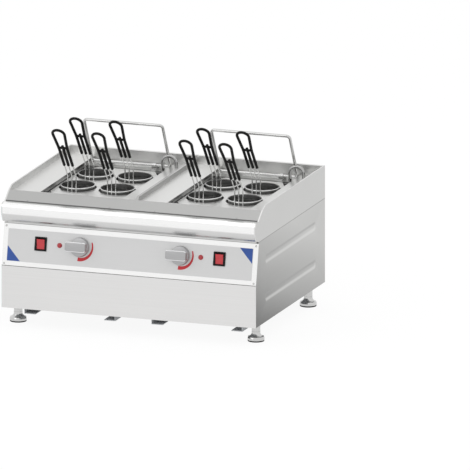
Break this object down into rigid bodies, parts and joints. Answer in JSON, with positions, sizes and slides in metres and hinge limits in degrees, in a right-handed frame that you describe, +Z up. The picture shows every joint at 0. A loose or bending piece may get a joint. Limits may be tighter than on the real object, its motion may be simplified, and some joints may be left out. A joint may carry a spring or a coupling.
{
  "type": "counter-top pasta cooker",
  "caption": "Electric counter-top pasta cooker with twin tanks, round lift-out wire baskets with long looped handles, hanger frames, water spouts, rocker switches and pointer knobs.",
  "frame": {"origin": "on the floor, under the middle of the whole object's box", "axes": "+X to the cooker's right as its user sees it, +Y to the rear, +Z up"},
  "size_m": [0.8, 0.6346, 0.5872],
  "materials": {
    "brushed_sheet": "satin",
    "polished_sheet": "polished",
    "side_sheet": "satin",
    "galvanised_sheet": "dull",
    "panel_film": "fine brushed",
    "chromed_wire": "bright",
    "black_grip": "dip-coated",
    "black_plastic": "moulded",
    "red_rocker": "glossy",
    "red_lens": "translucent",
    "knob_grey": "metallic grey",
    "element_sheath": "heat-darkened",
    "sole_rubber": "plain"
  },
  "bodies": {
    "cooker": {"base_pan": "galvanised_sheet", "base_rails": "galvanised_sheet", "front_skirt": "brushed_sheet", "control_panel": "polished_sheet", "panel_overlay": "panel_film", "panel_screws": "chromed_wire", "bullnose_rail": "polished_sheet", "top_casing": "brushed_sheet", "rear_panel": "galvanised_sheet", "false_bottoms": "brushed_sheet", "hanger_clips": "chromed_wire", "drain_pipes": "chromed_wire", "signal_lamps": "red_lens", "leg_sleeves": "chromed_wire", "cable_gland": "black_plastic", "side_panel_left": "side_sheet", "side_panel_right": "side_sheet", "tank_left": "brushed_sheet", "tank_right": "brushed_sheet", "heating_element_left": "element_sheath", "heating_element_right": "element_sheath", "hanger_frame_left": "chromed_wire", "hanger_frame_right": "chromed_wire", "water_spout_left": "chromed_wire", "water_spout_right": "chromed_wire", "thermostat_left": "black_plastic", "thermostat_right": "black_plastic", "switch_housing_left": "black_plastic", "switch_housing_right": "black_plastic"},
    "plate_left": {"basket_plate_left": "brushed_sheet"},
    "basket_left_front_left": {"basket_left_front_left": "chromed_wire", "grip_left_front_left": "black_grip"},
    "basket_left_front_right": {"basket_left_front_right": "chromed_wire", "grip_left_front_right": "black_grip"},
    "basket_left_rear_left": {"basket_left_rear_left": "chromed_wire", "grip_left_rear_left": "black_grip"},
    "basket_left_rear_right": {"basket_left_rear_right": "chromed_wire", "grip_left_rear_right": "black_grip"},
    "knob_left": {"knob_left": "knob_grey"},
    "rocker_left": {"rocker_left": "red_rocker"},
    "plate_right": {"basket_plate_right": "brushed_sheet"},
    "basket_right_front_left": {"basket_right_front_left": "chromed_wire", "grip_right_front_left": "black_grip"},
    "basket_right_front_right": {"basket_right_front_right": "chromed_wire", "grip_right_front_right": "black_grip"},
    "basket_right_rear_left": {"basket_right_rear_left": "chromed_wire", "grip_right_rear_left": "black_grip"},
    "basket_right_rear_right": {"basket_right_rear_right": "chromed_wire", "grip_right_rear_right": "black_grip"},
    "knob_right": {"knob_right": "knob_grey"},
    "rocker_right": {"rocker_right": "red_rocker"},
    "foot_front_left": {"foot_front_left": "chromed_wire", "sole_front_left": "sole_rubber"},
    "foot_front_right": {"foot_front_right": "chromed_wire", "sole_front_right": "sole_rubber"},
    "foot_rear_left": {"foot_rear_left": "chromed_wire", "sole_rear_left": "sole_rubber"},
    "foot_rear_right": {"foot_rear_right": "chromed_wire", "sole_rear_right": "sole_rubber"}
  },
  "joints": [
    {"name": "plate_left_lift", "type": "slide", "parent": "cooker", "child": "plate_left", "axis": [0, 0, 1], "range_m": [0, 0.13]},
    {"name": "basket_left_front_left_lift", "type": "slide", "parent": "plate_left", "child": "basket_left_front_left", "axis": [0, 0, 1], "range_m": [0, 0.085]},
    {"name": "basket_left_front_right_lift", "type": "slide", "parent": "plate_left", "child": "basket_left_front_right", "axis": [0, 0, 1], "range_m": [0, 0.085]},
    {"name": "basket_left_rear_left_lift", "type": "slide", "parent": "plate_left", "child": "basket_left_rear_left", "axis": [0, 0, 1], "range_m": [0, 0.18]},
    {"name": "basket_left_rear_right_lift", "type": "slide", "parent": "plate_left", "child": "basket_left_rear_right", "axis": [0, 0, 1], "range_m": [0, 0.18]},
    {"name": "knob_left_turn", "type": "hinge", "parent": "cooker", "child": "knob_left", "pos_m": [-0.158, -0.29359, 0.25805], "axis": [0, 0.9787, -0.2052], "range_deg": [0, 270]},
    {"name": "rocker_left_press", "type": "hinge", "parent": "cooker", "child": "rocker_left", "pos_m": [-0.281, -0.28283, 0.25579], "axis": [-1, 0, 0], "range_deg": [0, 20]},
    {"name": "plate_right_lift", "type": "slide", "parent": "cooker", "child": "plate_right", "axis": [0, 0, 1], "range_m": [0, 0.13]},
    {"name": "basket_right_front_left_lift", "type": "slide", "parent": "plate_right", "child": "basket_right_front_left", "axis": [0, 0, 1], "range_m": [0, 0.085]},
    {"name": "basket_right_front_right_lift", "type": "slide", "parent": "plate_right", "child": "basket_right_front_right", "axis": [0, 0, 1], "range_m": [0, 0.085]},
    {"name": "basket_right_rear_left_lift", "type": "slide", "parent": "plate_right", "child": "basket_right_rear_left", "axis": [0, 0, 1], "range_m": [0, 0.18]},
    {"name": "basket_right_rear_right_lift", "type": "slide", "parent": "plate_right", "child": "basket_right_rear_right", "axis": [0, 0, 1], "range_m": [0, 0.18]},
    {"name": "knob_right_turn", "type": "hinge", "parent": "cooker", "child": "knob_right", "pos_m": [0.158, -0.29359, 0.25805], "axis": [0, 0.9787, -0.2052], "range_deg": [0, 270]},
    {"name": "rocker_right_press", "type": "hinge", "parent": "cooker", "child": "rocker_right", "pos_m": [0.281, -0.28283, 0.25579], "axis": [-1, 0, 0], "range_deg": [0, 20]},
    {"name": "foot_front_left_turn", "type": "hinge", "parent": "cooker", "child": "foot_front_left", "pos_m": [-0.374, -0.2227, 0.03], "axis": [0, 0, 1], "continuous": true},
    {"name": "foot_front_right_turn", "type": "hinge", "parent": "cooker", "child": "foot_front_right", "pos_m": [0.374, -0.2227, 0.03], "axis": [0, 0, 1], "continuous": true},
    {"name": "foot_rear_left_turn", "type": "hinge", "parent": "cooker", "child": "foot_rear_left", "pos_m": [-0.374, 0.2413, 0.03], "axis": [0, 0, 1], "continuous": true},
    {"name": "foot_rear_right_turn", "type": "hinge", "parent": "cooker", "child": "foot_rear_right", "pos_m": [0.374, 0.2413, 0.03], "axis": [0, 0, 1], "continuous": true}
  ]
}
